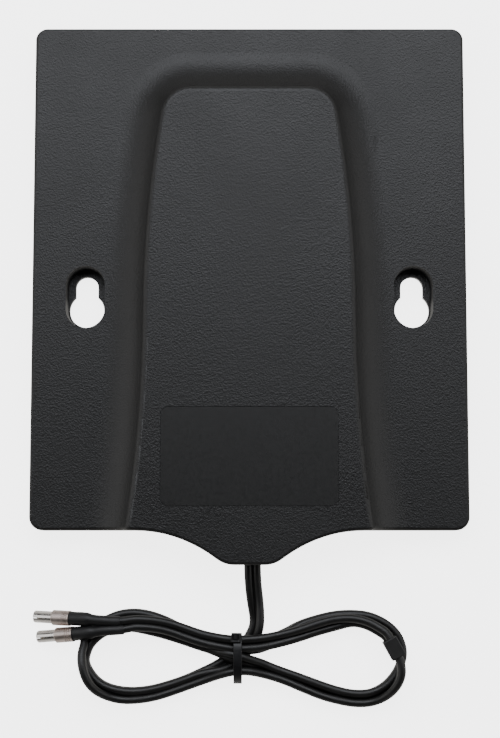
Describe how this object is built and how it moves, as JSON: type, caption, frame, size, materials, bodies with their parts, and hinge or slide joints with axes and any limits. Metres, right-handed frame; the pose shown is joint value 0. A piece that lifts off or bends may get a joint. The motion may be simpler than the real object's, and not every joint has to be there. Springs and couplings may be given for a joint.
{
  "type": "flat panel antenna",
  "caption": "Flat rectangular panel antenna with a raised tapering centre, a blank label, two keyhole hangers and a tied twin coaxial lead ending in slim push-on plugs.",
  "frame": {"origin": "middle of the housing's footprint (its bounding box without the lead), on the plane of its flat back", "axes": "+Z out of the front face, +Y towards the edge that is uppermost when it hangs on its keyholes, +X to the right seen from the front; the lead leaves the lower edge towards -Y"},
  "size_m": [0.147, 0.2306, 0.017],
  "materials": {
    "housing_plastic": "fine leather-grain moulded texture, satin",
    "label_film": "smooth, plain",
    "zinc_steel": "zinc plated",
    "tinned_plate": "rolled sheet",
    "board_laminate": "glass-epoxy laminate with solder mask",
    "copper": "bright copper",
    "white_nylon": "natural nylon",
    "solder": "bright solder",
    "black_nylon": "smooth",
    "black_rubber": "matt",
    "cable_jacket": "extruded PVC, semi-gloss",
    "shrink_tube": "heat-shrunk polyolefin, satin",
    "sleeve_pvc": "moulded PVC, satin",
    "plug_nickel": "nickel plated, fine turned",
    "plug_dielectric": "PTFE",
    "contact_gold": "gold plated"
  },
  "bodies": {
    "root": {"front_cover": "housing_plastic", "back_cover": "housing_plastic", "cover_screws": "zinc_steel", "rating_label": "label_film", "ground_plate": "tinned_plate", "board_spacers": "white_nylon", "antenna_board": "board_laminate", "board_screws": "zinc_steel", "radiator_left": "copper", "radiator_right": "copper", "feed_joints": "solder", "coax_inner_left": "cable_jacket", "coax_inner_right": "cable_jacket", "cable_clamp": "black_nylon", "clamp_screws": "zinc_steel", "cable_bushing": "black_rubber", "cable_stem": "cable_jacket", "cable_hank": "cable_jacket", "cable_tie": "black_nylon", "split_sleeve": "sleeve_pvc", "heat_shrink_upper": "shrink_tube", "plug_collar_upper": "plug_nickel", "plug_barrel_upper": "plug_nickel", "plug_insulator_upper": "plug_dielectric", "plug_pin_upper": "contact_gold", "heat_shrink_lower": "shrink_tube", "plug_collar_lower": "plug_nickel", "plug_barrel_lower": "plug_nickel", "plug_insulator_lower": "plug_dielectric", "plug_pin_lower": "contact_gold"}
  },
  "joints": []
}
